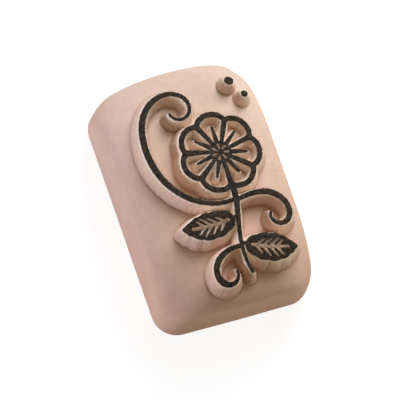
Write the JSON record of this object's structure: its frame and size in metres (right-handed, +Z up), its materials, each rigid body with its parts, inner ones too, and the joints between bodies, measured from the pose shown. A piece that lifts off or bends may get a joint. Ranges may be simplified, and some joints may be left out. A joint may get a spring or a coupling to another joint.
{
  "type": "temporary tattoo stamp",
  "caption": "Hand-held foam stamp for temporary tattoos: a soft pillow block on its flat back, whose domed face carries a laser-cut plant ornament with black ink on its crowns.",
  "frame": {"origin": "middle of the flat back, which is the underside as it lies", "axes": "+X across the stamp, +Y along its length, +Z up out of the print face"},
  "size_m": [0.044, 0.0674, 0.0282],
  "materials": {
    "foam": "matte fine-pored foam, pinkish beige",
    "ink": "dried black ink, matte"
  },
  "bodies": {
    "root": {"foam_block": "foam", "relief_blossom": "foam", "relief_stem": "foam", "relief_tendril_left": "foam", "relief_tendril_right": "foam", "relief_tendril_low": "foam", "relief_leaf_left": "foam", "relief_leaf_right": "foam", "relief_dot_large": "foam", "relief_dot_small": "foam", "ink_blossom": "ink", "ink_stem": "ink", "ink_tendril_left": "ink", "ink_tendril_right": "ink", "ink_tendril_low": "ink", "ink_leaf_left": "ink", "ink_leaf_right": "ink", "ink_dot_large": "ink", "ink_dot_small": "ink"}
  },
  "joints": []
}
